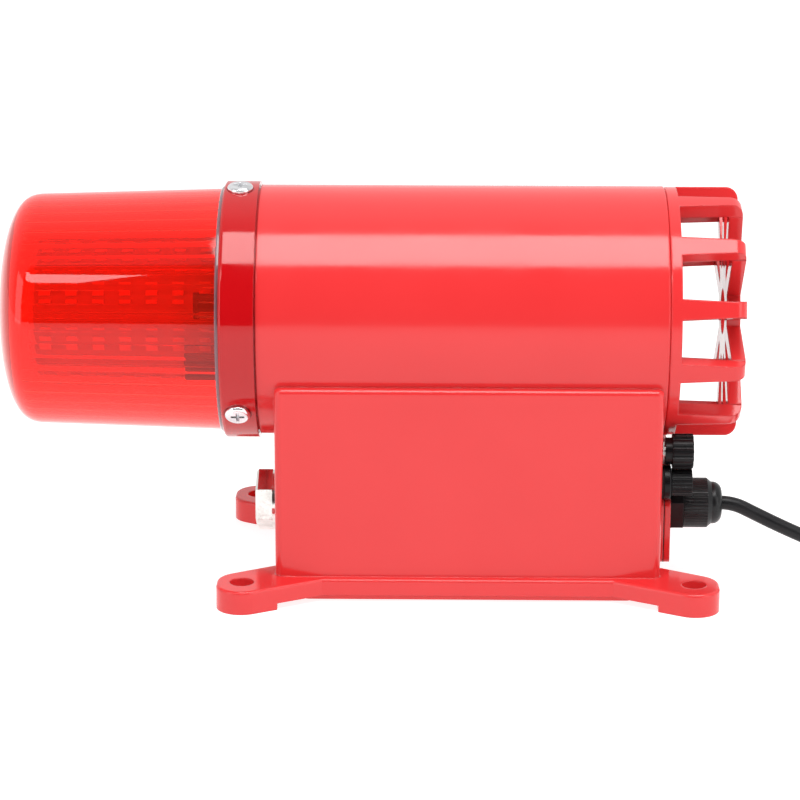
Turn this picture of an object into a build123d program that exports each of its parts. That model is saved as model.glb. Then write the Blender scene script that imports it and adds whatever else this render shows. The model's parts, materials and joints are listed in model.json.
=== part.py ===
"""Alarm siren: a cast housing with a beacon at one end and a guarded horn at the other.

Millimetres, +Z up. The origin is the centre of the four mounting holes, in the plane on which
the lug pads stand. +X runs along the tube towards the horn guard and -X towards the beacon.
Angles round the tube's axis start at -Y and turn up towards +Z.
"""

from build123d import *
from math import atan, cos, degrees, pi, radians, sin, sqrt, tan
import os

os.makedirs("parts", exist_ok=True)

# ---------------------------------------------------------------- driving dimensions
# tube of the housing
AXIS_Z = 116.1  # height of the tube's axis
TUBE_R = 55.0
BORE_R = 51.0
TUBE_LEFT = -91.0  # shoulder that the lens ring stops at
TUBE_RIGHT = 85.2
SEAM = 0.5  # chamfers where the tube and the horn guard meet
SPIGOT_R = 53.5  # spigot that the lens ring fits over
SPIGOT_LEFT = -102.6
COLLAR_R = 47.0  # bore of the thick collar behind the spigot
COLLAR_RIGHT = -90.0
LIP_X = (70.5, 73.5)  # inner lip that the horn flange sits on
LIP_R = 44.5

# box under the tube
BOX_X = 83.5
BOX_Y = 54.4
BOX_TOP = 94.7
BOX_CORNER, BOX_TOP_ROUND = 3.2, 2.4
NECK_Y = 46.8  # half width of the passage from the box up into the tube
NECK_BOTTOM = 90.7
WALL = 3.5
OPENING_X, OPENING_Y = 68.0, 50.0  # opening in the base plate

# base plate and lugs
BASE_TOP = 10.3
BASE_BOTTOM = 2.9
BASE_Y = 58.0
HOLE_X, HOLE_Y = 97.5, 62.0
HOLE_R = 5.25
LUG_R = 11.0
LUG_STRETCH = 2.5  # the lugs are longer than round ones by this much at each side
LUG_FRONT_X = 63.0  # where a lug's front side runs into the base plate's edge
LUG_END_Y = 38.5  # where its other side runs into the end wall
PAD_X = 82.0  # the thick pads start here
REBATE_X, REBATE_Y, REBATE_DEPTH = 71.0, 55.0, 1.0

# beacon
LENS_LEFT = -205.2
LENS_TIP_R = 50.75
LENS_FOOT_R = 53.4
LENS_CORNER = 13.0
LENS_DOME = 1.6  # rise of the slightly domed end
LENS_WALL = 2.6
FLUTES = 48
FLUTE_R = 6.0
RING_LEFT, RING_RIGHT = -106.9, -91.6
RING_R = 56.6
RING_SCREW_X = -99.5
SCREW_ANGLES = (81.5, -38.5, 201.5)
COLUMN_SIDES = 8
COLUMN_FLAT = 25.0  # distance of the light column's faces from the axis
COLUMN_PHASE = 27.5  # angle of the middle of one face
COLUMN_LEFT = -191.0

# horn guard
GUARD_R = 54.7
GUARD_IN_R = 48.7
WINDOW_LEFT = 90.3
ARM_LEFT, ARM_RIGHT = 112.0, 118.0
GUARD_CORNER = 5.5
FINGERS = 12
FINGER_PHASE = 15.0
FINGER_ROOT, FINGER_TIP = 9.4, 6.4
ARM_WIDTH = 7.4
HUB_R, HUB_HOLE_R = 20.0, 10.0

# controls on the right wall
KNOB_Y, KNOB_Z = -37.0, 62.9
FUSE_Y, FUSE_Z = -37.0, 48.8
GLAND_Y, GLAND_Z = -21.0, 34.3
PLUG_Z = 27.8

# cord
CORD_R = 3.1
COIL_X, COIL_Y = 203.0, 17.0
COIL_IN_R, COIL_OUT_R = 26.0, 38.6  # centre lines of the inner and outer turns

# ---------------------------------------------------------------- helpers
AXLE = Axis((0, 0, AXIS_Z), (1, 0, 0))
SIDE = Plane((0, 0, AXIS_Z), x_dir=(1, 0, 0), z_dir=(0, -1, 0))  # local x = X, local y = radius


def across(x, y=0.0, z=AXIS_Z):
    """Plane across the X direction: local x = Y, local y = Z, normal = +X."""
    return Plane((x, y, z), x_dir=(0, 1, 0), z_dir=(1, 0, 0))


def on_axis(x, radius, angle):
    """Point at a radius and angle round the tube's axis."""
    return (x, -radius * cos(radians(angle)), AXIS_Z + radius * sin(radians(angle)))


def outward(x, radius, angle):
    """Plane at a point round the tube's axis, with its normal pointing away from the axis."""
    normal = (0, -cos(radians(angle)), sin(radians(angle)))
    return Plane(on_axis(x, radius, angle), x_dir=(1, 0, 0), z_dir=normal)


def ring_profile(x0, x1, r0, r1):
    """Corner points of a rectangular ring section."""
    return [(x0, r0), (x1, r0), (x1, r1), (x0, r1)]


def turned(profile, y=0.0, z=AXIS_Z):
    """Solid of revolution about an axis along X, from (x, radius) points."""
    with BuildPart() as body:
        with BuildSketch(Plane((0, y, z), x_dir=(1, 0, 0), z_dir=(0, -1, 0))):
            with BuildLine():
                Polyline(*profile, close=True)
            make_face()
        revolve(axis=Axis((0, y, z), (1, 0, 0)))
    return body.part


def cross_screw(head_r, head_h, shank_r, shank_length, countersunk=False):
    """Cross-recessed screw: its head's seat is at z = 0 and its shank points down."""
    with BuildPart() as screw:
        with Locations((0, 0, -shank_length / 2)):
            Cylinder(shank_r, shank_length)
        if countersunk:
            with Locations((0, 0, -head_h / 2)):
                Cone(shank_r, head_r, head_h)
            top = 0.0
        else:
            with Locations((0, 0, head_h / 2)):
                Cylinder(head_r, head_h)
            fillet(screw.edges().group_by(Axis.Z)[-1], head_h * 0.6)
            top = head_h
        with BuildSketch(Plane.XY.offset(top)):
            Rectangle(head_r * 1.05, head_r * 0.24)
            Rectangle(head_r * 0.24, head_r * 1.05)
        extrude(amount=-head_h * 0.7, taper=12, mode=Mode.SUBTRACT)
    return screw.part


def hexagon_plate(across_flats, thickness, hole_r, turn=0.0):
    """Hexagonal plate standing on z = 0, with a round hole."""
    with BuildPart() as plate:
        with BuildSketch():
            RegularPolygon(across_flats / 2, 6, major_radius=False, rotation=turn)
            Circle(hole_r, mode=Mode.SUBTRACT)
        extrude(amount=thickness)
    return plate.part


# ================================================================ housing
with BuildSketch() as lug_outline:
    with BuildLine():
        for y in (HOLE_Y - LUG_STRETCH, HOLE_Y + LUG_STRETCH):
            CenterArc((HOLE_X, y), LUG_R, 0, 360)
        Line((LUG_FRONT_X, BASE_Y), (BOX_X, LUG_END_Y))
    make_hull()
    mirror(about=Plane.XZ)
    mirror(about=Plane.YZ)

with BuildSketch() as pad_outline:
    add(lug_outline.sketch)
    Rectangle(2 * PAD_X, 4 * HOLE_Y, mode=Mode.SUBTRACT)

BOSS_X, BOSS_Y, BOSS_R, BOSS_TOP = 66.0, 46.5, 6.0, 24.0
TAP_R = 1.65
LAMP_BOSS_R, LAMP_BOSS_AT = 5.0, 43.0
LAMP_SCREW_ANGLES = (50.0, 170.0, 290.0)
PLATE_X0 = BOX_X + 2.2  # the gland pad cast on the right wall ends here
PLATE_T = 2.6
GASKET_T = 0.4
PLATE_SCREWS = ((-27.5, 17.3), (30.0, 17.3), (30.0, 51.3), (-20.0, 52.3))

with BuildSketch() as pad_face:
    with Locations((0, GLAND_Z)):
        Rectangle(72.0, 47.0)
    with Locations((-32.0, GLAND_Z + 16)):
        Rectangle(12.0, 21.0, mode=Mode.SUBTRACT)
    fillet(pad_face.vertices(), 3.0)

with BuildPart() as housing:
    # base plate with its lugs
    with BuildSketch(Plane.XY.offset(BASE_BOTTOM)):
        Rectangle(2 * BOX_X, 2 * BASE_Y)
        add(lug_outline.sketch)
    extrude(amount=BASE_TOP - BASE_BOTTOM)
    with BuildSketch():
        add(pad_outline.sketch)
    extrude(amount=BASE_BOTTOM)
    fillet(housing.edges().group_by(Axis.Z)[-1], 1.2)
    # box and tube
    with BuildSketch(Plane.XY.offset(BASE_TOP - 2)):
        RectangleRounded(2 * BOX_X, 2 * BOX_Y, BOX_CORNER)
    extrude(amount=BOX_TOP - BASE_TOP + 2)
    fillet(housing.edges().group_by(Axis.Z)[-1], BOX_TOP_ROUND)
    add(turned([(TUBE_LEFT, 0), (TUBE_RIGHT, 0), (TUBE_RIGHT, TUBE_R - SEAM), (TUBE_RIGHT - SEAM, TUBE_R),
                (TUBE_LEFT, TUBE_R)]))
    add(turned(ring_profile(SPIGOT_LEFT, TUBE_LEFT, 0, SPIGOT_R)))
    # raised pad for the gland plate
    with BuildSketch(across(BOX_X, z=0)):
        add(pad_face.sketch)
    extrude(amount=PLATE_X0 - BOX_X)
    # hollow tube and hollow box
    add(turned(ring_profile(COLLAR_RIGHT, TUBE_RIGHT, 0, BORE_R)), mode=Mode.SUBTRACT)
    add(turned(ring_profile(SPIGOT_LEFT, COLLAR_RIGHT, 0, COLLAR_R)), mode=Mode.SUBTRACT)
    with BuildSketch(Plane.XY.offset(BASE_TOP)):
        Rectangle(2 * (BOX_X - WALL), 2 * (BOX_Y - WALL))
    extrude(amount=NECK_BOTTOM - BASE_TOP, mode=Mode.SUBTRACT)
    with BuildSketch(Plane.XY.offset(BASE_TOP)):
        Rectangle(2 * (BOX_X - WALL), 2 * NECK_Y)
    extrude(amount=AXIS_Z - 20 - BASE_TOP, mode=Mode.SUBTRACT)
    with BuildSketch(Plane.XY.offset(BASE_BOTTOM)):
        Rectangle(2 * OPENING_X, 2 * OPENING_Y)
    extrude(amount=BASE_TOP - BASE_BOTTOM, mode=Mode.SUBTRACT)
    with BuildSketch(Plane.XY.offset(BASE_BOTTOM)):
        RectangleRounded(2 * REBATE_X, 2 * REBATE_Y, 4)
    extrude(amount=REBATE_DEPTH, mode=Mode.SUBTRACT)
    # lip for the horn, bosses for the cover and for the lamp base
    add(turned(ring_profile(*LIP_X, LIP_R, BORE_R + 1)))
    with BuildSketch(Plane.XY.offset(BASE_BOTTOM + REBATE_DEPTH)):
        with GridLocations(2 * BOSS_X, 2 * BOSS_Y, 2, 2):
            Circle(BOSS_R)
    extrude(amount=BOSS_TOP)
    with Locations(*[Plane(on_axis(SPIGOT_LEFT + 5, LAMP_BOSS_AT, a), z_dir=(1, 0, 0))
                     for a in LAMP_SCREW_ANGLES]):
        Cylinder(LAMP_BOSS_R, 10)
        Cylinder(TAP_R, 12, mode=Mode.SUBTRACT)
    with BuildSketch(Plane.XY.offset(BASE_BOTTOM)):
        with GridLocations(2 * BOSS_X, 2 * BOSS_Y, 2, 2):
            Circle(TAP_R)
    extrude(amount=BOSS_TOP - 4, mode=Mode.SUBTRACT)
    # mounting holes
    with GridLocations(2 * HOLE_X, 2 * HOLE_Y, 2, 2):
        Cylinder(HOLE_R, 6 * BASE_TOP, mode=Mode.SUBTRACT)
    # holes in the end walls
    for y, z, r in ((KNOB_Y, KNOB_Z, 3.6), (FUSE_Y, FUSE_Z, 6.2), (GLAND_Y, GLAND_Z, 8.3)):
        with Locations(across(BOX_X, y, z)):
            Cylinder(r, 12, mode=Mode.SUBTRACT)
    with Locations(across(-BOX_X, 0, PLUG_Z)):
        Cylinder(8.1, 12, mode=Mode.SUBTRACT)
    with Locations(*[across(BOX_X, y, z) for y, z in PLATE_SCREWS]):
        Cylinder(1.55, 14, mode=Mode.SUBTRACT)
    # tapped holes for the ring screws
    with Locations(*[outward(RING_SCREW_X, SPIGOT_R, a) for a in SCREW_ANGLES]):
        Cylinder(2.45, 26, mode=Mode.SUBTRACT)
    # clearance holes in the lip for the horn screws
    with Locations(across(LIP_X[0])):
        with PolarLocations(47.6, 4, start_angle=45):
            Cylinder(1.7, 12, mode=Mode.SUBTRACT)

housing.part.label = "housing"
export_step(housing.part, "parts/housing.step")

# ================================================================ beacon
LENS_TAPER = (LENS_FOOT_R - LENS_TIP_R) / (RING_LEFT - LENS_LEFT - LENS_CORNER)
LENS_CORNER_X = LENS_LEFT + 18.0  # the side wall starts here, after the rounded corner
FLANGE_LEFT, FLANGE_RIGHT, FLANGE_R = -105.4, -103.6, 55.2
CAVITY_CORNER_X = LENS_CORNER_X - 4.5


def lens_radius(x):
    """Outer radius of the lens's tapered side wall."""
    return LENS_TIP_R + LENS_TAPER * (x - LENS_CORNER_X)


with BuildPart() as lens:
    with BuildSketch(SIDE):
        with BuildLine():
            Spline((LENS_LEFT, 0), (LENS_LEFT + 2.1, 30.4), (LENS_LEFT + 7.8, 45.7),
                   (LENS_CORNER_X, lens_radius(LENS_CORNER_X)), tangents=[(0, 1), (1, LENS_TAPER)])
            Polyline((LENS_CORNER_X, lens_radius(LENS_CORNER_X)), (FLANGE_LEFT, lens_radius(FLANGE_LEFT)),
                     (FLANGE_LEFT, FLANGE_R), (FLANGE_RIGHT, FLANGE_R),
                     (FLANGE_RIGHT, lens_radius(FLANGE_RIGHT) - LENS_WALL),
                     (CAVITY_CORNER_X, lens_radius(CAVITY_CORNER_X) - LENS_WALL))
            Spline((CAVITY_CORNER_X, lens_radius(CAVITY_CORNER_X) - LENS_WALL), (LENS_LEFT + 7.0, 38.6),
                   (LENS_LEFT + LENS_WALL, 0), tangents=[(-1, -LENS_TAPER), (0, -1)])
            Line((LENS_LEFT + LENS_WALL, 0), (LENS_LEFT, 0))
        make_face()
    revolve(axis=AXLE)
    flute_length = FLANGE_LEFT - CAVITY_CORNER_X
    flute_mid = (FLANGE_LEFT + CAVITY_CORNER_X) / 2
    flute_axis_r = lens_radius(flute_mid) - LENS_WALL + 0.85 - FLUTE_R
    with Locations(*[outward(flute_mid, flute_axis_r, 360 * i / FLUTES) for i in range(FLUTES)]):
        Cylinder(FLUTE_R, flute_length, rotation=(0, 90 - degrees(atan(LENS_TAPER)), 0), mode=Mode.SUBTRACT)

lens.part.label = "lens"
export_step(lens.part, "parts/lens.step")

LIP_BORE_R = 54.3
RING_STEP_X = SPIGOT_LEFT - 0.4
SEAL_LEFT = -108.4
SEAL_RIGHT = FLANGE_LEFT - 0.2

with BuildPart() as lens_seal:
    add(turned([(SEAL_LEFT, lens_radius(SEAL_LEFT) + 0.05), (SEAL_RIGHT, lens_radius(SEAL_RIGHT) + 0.05),
                (SEAL_RIGHT, LIP_BORE_R - 0.05), (SEAL_LEFT + 0.6, LIP_BORE_R - 0.05),
                (SEAL_LEFT, LIP_BORE_R - 0.5)]))

lens_seal.part.label = "lens_seal"
export_step(lens_seal.part, "parts/lens_seal.step")

SEAT_R = 56.1  # flat seat of the screw heads
RING_HEAD_R, RING_HEAD_H = 5.6, 2.4

with BuildPart() as lens_ring:
    add(turned([(RING_LEFT, LIP_BORE_R), (SEAL_RIGHT, LIP_BORE_R), (SEAL_RIGHT, FLANGE_R + 0.1),
                (RING_STEP_X, FLANGE_R + 0.1), (RING_STEP_X, SPIGOT_R + 0.1), (RING_RIGHT, SPIGOT_R + 0.1),
                (RING_RIGHT, RING_R), (RING_LEFT, RING_R)]))
    outer_edges = lens_ring.edges().filter_by(GeomType.CIRCLE).filter_by(lambda e: e.radius > RING_R - 0.01)
    fillet(outer_edges.sort_by(Axis.X)[0], 1.5)
    with Locations(*[outward(RING_SCREW_X, SPIGOT_R, a) for a in SCREW_ANGLES]):
        Cylinder(2.8, 12, mode=Mode.SUBTRACT)
    with Locations(*[outward(RING_SCREW_X, SEAT_R + 2, a) for a in SCREW_ANGLES]):
        Cylinder(RING_HEAD_R + 0.4, 4, mode=Mode.SUBTRACT)

lens_ring.part.label = "lens_ring"
export_step(lens_ring.part, "parts/lens_ring.step")

RING_SCREW = cross_screw(RING_HEAD_R, RING_HEAD_H, 2.4, 8.6)

with BuildPart() as ring_screws:
    with Locations(*[outward(RING_SCREW_X, SEAT_R, a) for a in SCREW_ANGLES]):
        add(RING_SCREW)

ring_screws.part.label = "ring_screws"
export_step(ring_screws.part, "parts/ring_screws.step")

with BuildPart() as lens_gasket:
    add(turned(ring_profile(FLANGE_RIGHT, SPIGOT_LEFT, 50.2, 53.3)))

lens_gasket.part.label = "lens_gasket"
export_step(lens_gasket.part, "parts/lens_gasket.step")

LAMP_PLATE_R, LAMP_PLATE_T = 49.6, 2.0
LAMP_PLATE_X = SPIGOT_LEFT - LAMP_PLATE_T
BOARD_T = 1.6

COLUMN_TURN = 180 - COLUMN_PHASE + 180 / COLUMN_SIDES  # turn of the octagon in the plane across the tube

with BuildPart() as lamp_holder:
    # octagonal column with a closed tip, standing on a round plate
    with BuildSketch(across(COLUMN_LEFT)):
        RegularPolygon(COLUMN_FLAT, COLUMN_SIDES, major_radius=False, rotation=COLUMN_TURN)
    extrude(amount=LAMP_PLATE_X - COLUMN_LEFT)
    add(turned(ring_profile(LAMP_PLATE_X, SPIGOT_LEFT, 0, LAMP_PLATE_R)))
    with BuildSketch(across(COLUMN_LEFT + 2)):
        RegularPolygon(COLUMN_FLAT - 2, COLUMN_SIDES, major_radius=False, rotation=COLUMN_TURN)
    extrude(amount=SPIGOT_LEFT - COLUMN_LEFT, mode=Mode.SUBTRACT)
    # collar that centres the plate in the housing, and the screw holes
    add(turned(ring_profile(SPIGOT_LEFT, SPIGOT_LEFT + 5, COLLAR_R - 2.2, COLLAR_R - 0.2)))
    with Locations(*[Plane(on_axis(SPIGOT_LEFT, LAMP_BOSS_AT, a), z_dir=(1, 0, 0))
                     for a in LAMP_SCREW_ANGLES]):
        Cylinder(1.9, 6, mode=Mode.SUBTRACT)
        with Locations((0, 0, 3.0)):
            Cylinder(LAMP_BOSS_R + 0.4, 6, mode=Mode.SUBTRACT)

lamp_holder.part.label = "lamp_holder"
export_step(lamp_holder.part, "parts/lamp_holder.step")

LAMP_SCREW = cross_screw(3.0, 1.9, 1.5, 9.0)

with BuildPart() as lamp_screws:
    with Locations(*[Plane(on_axis(LAMP_PLATE_X - BOARD_T, LAMP_BOSS_AT, a), z_dir=(-1, 0, 0))
                     for a in LAMP_SCREW_ANGLES]):
        add(LAMP_SCREW)

lamp_screws.part.label = "lamp_screws"
export_step(lamp_screws.part, "parts/lamp_screws.step")

with BuildPart() as flasher_board:
    add(turned(ring_profile(LAMP_PLATE_X - BOARD_T, LAMP_PLATE_X, 29.5, 47.5)))
    with Locations(*[Plane(on_axis(LAMP_PLATE_X, LAMP_BOSS_AT, a), z_dir=(1, 0, 0))
                     for a in LAMP_SCREW_ANGLES]):
        Cylinder(1.7, 8, mode=Mode.SUBTRACT)

flasher_board.part.label = "flasher_board"
export_step(flasher_board.part, "parts/flasher_board.step")

FLASHER_X = LAMP_PLATE_X - BOARD_T
CAP_ANGLES = (-19.5, -31.0)
CHOKE_ANGLE = 17.0
CAP_LENGTH, CHOKE_LENGTH = 16.5, 12.0
PART_AT = 38.5


def standing_on_board(angle, length):
    """Plane at the middle of a part of that length that stands on the flasher board."""
    return Plane(on_axis(FLASHER_X - length / 2, PART_AT, angle), z_dir=(1, 0, 0))


with BuildPart() as flasher_capacitors:
    with Locations(*[standing_on_board(a, CAP_LENGTH) for a in CAP_ANGLES]):
        Cylinder(2.8, CAP_LENGTH)
    fillet(flasher_capacitors.edges().group_by(Axis.X)[0], 0.7)

flasher_capacitors.part.label = "flasher_capacitors"
export_step(flasher_capacitors.part, "parts/flasher_capacitors.step")

with BuildPart() as flasher_choke:
    with Locations(standing_on_board(CHOKE_ANGLE, CHOKE_LENGTH)):
        Cylinder(4.2, CHOKE_LENGTH)
        with Locations((0, 0, 1 - CHOKE_LENGTH / 2), (0, 0, CHOKE_LENGTH / 2 - 1)):
            Cylinder(5.2, 2)

flasher_choke.part.label = "flasher_choke"
export_step(flasher_choke.part, "parts/flasher_choke.step")

BOARD_FACE = COLUMN_FLAT + 1.1
FACE_ANGLES = [COLUMN_PHASE + 360 * i / COLUMN_SIDES for i in range(COLUMN_SIDES)]
STRIP_W, STRIP_LENGTH, STRIP_MID = 19.4, 79.0, -149.2
LED_SIZE, LED_H, LED_PITCH, LEDS_PER_STRIP = 5.0, 1.6, 11.6, 7

with BuildPart() as led_boards:
    with Locations(*[outward(STRIP_MID, (COLUMN_FLAT + BOARD_FACE) / 2, a) for a in FACE_ANGLES]):
        Box(STRIP_LENGTH, STRIP_W, BOARD_FACE - COLUMN_FLAT)

led_boards.part.label = "led_boards"
export_step(led_boards.part, "parts/led_boards.step")

with BuildPart() as leds:
    with Locations(*[outward(STRIP_MID, BOARD_FACE + LED_H / 2, a) for a in FACE_ANGLES]):
        with GridLocations(LED_PITCH, 1, LEDS_PER_STRIP, 1):
            Box(LED_SIZE, LED_SIZE, LED_H)

leds.part.label = "leds"
export_step(leds.part, "parts/leds.step")

# ================================================================ horn guard and horn
GUARD_SPIGOT_R, GUARD_BORE_R, GUARD_SPIGOT_LEFT = BORE_R - 0.15, 44.2, 76.0
GUARD_SHOULDER = TUBE_RIGHT + 0.1
HORN_SCREW_AT = 47.6

FINGER_ANGLES = [FINGER_PHASE + 360 * i / FINGERS for i in range(FINGERS)]

with BuildPart() as guard_cup:
    with BuildSketch(SIDE):
        with BuildLine():
            Polyline((WINDOW_LEFT - 3, GUARD_IN_R), (WINDOW_LEFT - 3, GUARD_R), (ARM_RIGHT, GUARD_R),
                     (ARM_RIGHT, HUB_HOLE_R), (ARM_LEFT, HUB_HOLE_R), (ARM_LEFT, GUARD_IN_R), close=True)
        profile = make_face()
        fillet(profile.vertices().group_by(Axis.X)[-1].sort_by(Axis.Y)[-1], GUARD_CORNER)
    revolve(axis=AXLE)

with BuildPart() as horn_guard:
    # tapered fingers, and arms running in to the hub ring
    with BuildSketch(*[outward(0, GUARD_IN_R - 6, a) for a in FINGER_ANGLES]):
        Polygon((WINDOW_LEFT - 2, -FINGER_ROOT / 2), (ARM_RIGHT, -FINGER_TIP / 2),
                (ARM_RIGHT, FINGER_TIP / 2), (WINDOW_LEFT - 2, FINGER_ROOT / 2), align=None)
    extrude(amount=14)
    with BuildSketch(across(ARM_LEFT)):
        Circle(HUB_R)
        with Locations(*[Location((0, 0, 0), (0, 0, 180 - a)) for a in FINGER_ANGLES]):
            Rectangle(GUARD_IN_R, ARM_WIDTH, align=(Align.MIN, Align.CENTER))
    extrude(amount=ARM_RIGHT - ARM_LEFT)
    add(guard_cup.part, mode=Mode.INTERSECT)
    # ring with a spigot inside the tube; its bore carries on the flare of the horn
    add(turned([(GUARD_SPIGOT_LEFT, GUARD_BORE_R), (GUARD_SHOULDER + 1, GUARD_BORE_R + 0.8),
                (WINDOW_LEFT, GUARD_IN_R), (WINDOW_LEFT, GUARD_R), (GUARD_SHOULDER + SEAM, GUARD_R),
                (GUARD_SHOULDER, GUARD_R - SEAM),
                (GUARD_SHOULDER, GUARD_SPIGOT_R), (GUARD_SPIGOT_LEFT, GUARD_SPIGOT_R)]))
    with Locations(across(GUARD_SPIGOT_LEFT)):
        with PolarLocations(HORN_SCREW_AT, 4, start_angle=45):
            Cylinder(1.45, 18, mode=Mode.SUBTRACT)

horn_guard.part.label = "horn_guard"
export_step(horn_guard.part, "parts/horn_guard.step")

THROAT_X, THROAT_R, MOUTH_R = 24.0, 9.0, 43.5
HORN_WALL = 1.8
FLANGE_T = GUARD_SPIGOT_LEFT - LIP_X[1]
HORN_SCREW_PLANE = across(LIP_X[0])

with BuildPart() as horn:
    with BuildSketch(SIDE):
        with BuildLine():
            Spline((THROAT_X, THROAT_R), (44, 14.0), (62, 25.0), (GUARD_SPIGOT_LEFT, MOUTH_R),
                   tangents=[(1, 0.12), (1, 2.2)])
            Polyline((GUARD_SPIGOT_LEFT, MOUTH_R), (GUARD_SPIGOT_LEFT, BORE_R - 0.4),
                     (LIP_X[1], BORE_R - 0.4), (LIP_X[1], MOUTH_R + 0.6))
            Spline((LIP_X[1], MOUTH_R + 0.6), (60.6, 26.4), (42.5, 15.8), (THROAT_X, THROAT_R + 4),
                   tangents=[(-1, -2.2), (-1, 0)])
            Line((THROAT_X, THROAT_R + 4), (THROAT_X, THROAT_R))
        make_face()
    revolve(axis=AXLE)
    with Locations(HORN_SCREW_PLANE):
        with PolarLocations(HORN_SCREW_AT, 4, start_angle=45):
            Cylinder(1.7, 14, mode=Mode.SUBTRACT)

horn.part.label = "horn"
export_step(horn.part, "parts/horn.step")

HORN_SCREW = cross_screw(2.8, 1.8, 1.35, 13.0)

with BuildPart() as horn_screws:
    with Locations(Plane((LIP_X[0], 0, AXIS_Z), x_dir=(0, 1, 0), z_dir=(-1, 0, 0))):
        with PolarLocations(HORN_SCREW_AT, 4, start_angle=45):
            add(HORN_SCREW)

horn_screws.part.label = "horn_screws"
export_step(horn_screws.part, "parts/horn_screws.step")

# ================================================================ horn driver
DRIVER_R = 33.0
DRIVER_FRONT_X = 13.0
MAGNET_X = (-6.0, 6.5)
TOP_PLATE_RIGHT = 11.0
YOKE_LEFT = -11.0
COVER_LEFT = -15.0

with BuildPart() as driver_front:
    add(turned([(DRIVER_FRONT_X, DRIVER_R - 3), (DRIVER_FRONT_X, DRIVER_R + 3), (17, DRIVER_R + 3),
                (21, 26), (THROAT_X, 17), (THROAT_X, THROAT_R), (20, THROAT_R), (17, 24), (14.2, 26),
                (14.2, DRIVER_R - 3)]))

driver_front.part.label = "driver_front"
export_step(driver_front.part, "parts/driver_front.step")

CONE_R, CONE_RISE, SKIN = 13.0, 3.2, 0.5  # radius and rise of the diaphragm's dome
SPHERE_R = (CONE_R**2 + CONE_RISE**2) / (2 * CONE_RISE)
HALF_DROP = SPHERE_R - sqrt(SPHERE_R**2 - (CONE_R / 2) ** 2)  # drop of the dome at half its radius
CROWN_X = 16.4
CONE_EDGE_X = CROWN_X - CONE_RISE

with BuildPart() as diaphragm:
    with BuildSketch(SIDE):
        with BuildLine():
            ThreePointArc((CROWN_X, 0), (CROWN_X - HALF_DROP, CONE_R / 2), (CONE_EDGE_X, CONE_R))
            Polyline((CONE_EDGE_X, CONE_R), (13.9, 24.0), (13.1, 26.2), (13.1, 29.5), (13.6, 29.5),
                     (13.6, 26.4), (14.4, 24.2), (CONE_EDGE_X + SKIN, CONE_R))
            ThreePointArc((CONE_EDGE_X + SKIN, CONE_R), (CROWN_X - HALF_DROP + SKIN, CONE_R / 2),
                          (CROWN_X + SKIN, 0))
            Line((CROWN_X + SKIN, 0), (CROWN_X, 0))
        make_face()
    revolve(axis=AXLE)
    # voice coil on its former
    add(turned(ring_profile(5.0, CONE_EDGE_X + 0.3, 12.6, 13.3)))

diaphragm.part.label = "diaphragm"
export_step(diaphragm.part, "parts/diaphragm.step")

with BuildPart() as top_plate:
    add(turned(ring_profile(MAGNET_X[1], TOP_PLATE_RIGHT, 14.0, 30.0)))

top_plate.part.label = "top_plate"
export_step(top_plate.part, "parts/top_plate.step")

with BuildPart() as magnet:
    add(turned(ring_profile(*MAGNET_X, 17.0, 32.0)))

magnet.part.label = "magnet"
export_step(magnet.part, "parts/magnet.step")

with BuildPart() as yoke:
    add(turned([(YOKE_LEFT, 0), (TOP_PLATE_RIGHT, 0), (TOP_PLATE_RIGHT, 11.9), (MAGNET_X[0], 11.9),
                (MAGNET_X[0], 30.0), (YOKE_LEFT, 30.0)]))

yoke.part.label = "yoke"
export_step(yoke.part, "parts/yoke.step")

with BuildPart() as driver_cover:
    add(turned([(COVER_LEFT, 0), (COVER_LEFT, DRIVER_R + 3), (DRIVER_FRONT_X - 0.1, DRIVER_R + 3),
                (DRIVER_FRONT_X - 0.1, 30.0), (TOP_PLATE_RIGHT + 0.1, 30.0),
                (TOP_PLATE_RIGHT + 0.1, DRIVER_R), (YOKE_LEFT - 0.1, DRIVER_R), (YOKE_LEFT - 0.1, 0)]))

driver_cover.part.label = "driver_cover"
export_step(driver_cover.part, "parts/driver_cover.step")

# ================================================================ volume control
KNOB_R, KNOB_LEFT, KNOB_RIGHT = 7.6, 88.55, 97.6
KNOB_NECK_R, KNOB_NECK_LEFT = 5.9, 85.4
KNOB_FLUTES = 12
INNER_WALL_X = BOX_X - WALL
SHAFT_R = 3.0
NUT_T = 1.5
POT_R = 6.5

with BuildPart() as potentiometer:
    with BuildSketch(across(INNER_WALL_X - 9, KNOB_Y, KNOB_Z)):
        Circle(POT_R)
        with Locations((0, 6.5)):
            Rectangle(9, 7)
    extrude(amount=9)
    with BuildSketch(across(INNER_WALL_X, KNOB_Y, KNOB_Z)):
        Circle(3.5)
    extrude(amount=6.4)
    with BuildSketch(across(INNER_WALL_X - 7, KNOB_Y, KNOB_Z)):
        Circle(SHAFT_R + 0.05)
    extrude(amount=14, mode=Mode.SUBTRACT)
    with Locations(*[across(INNER_WALL_X - 6, KNOB_Y + dy, KNOB_Z + 11) for dy in (-3, 0, 3)]):
        Box(1.2, 6, 0.6)

potentiometer.part.label = "potentiometer"
export_step(potentiometer.part, "parts/potentiometer.step")

POT_NUT = hexagon_plate(10, NUT_T, 3.5)

with BuildPart() as pot_nut:
    with Locations(across(BOX_X, KNOB_Y, KNOB_Z)):
        add(POT_NUT)

pot_nut.part.label = "pot_nut"
export_step(pot_nut.part, "parts/pot_nut.step")

with BuildPart() as pot_shaft:
    with BuildSketch(across(INNER_WALL_X - 6, KNOB_Y, KNOB_Z)):
        Circle(SHAFT_R)
    extrude(amount=20.5)

pot_shaft.part.label = "pot_shaft"
export_step(pot_shaft.part, "parts/pot_shaft.step")

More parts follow.
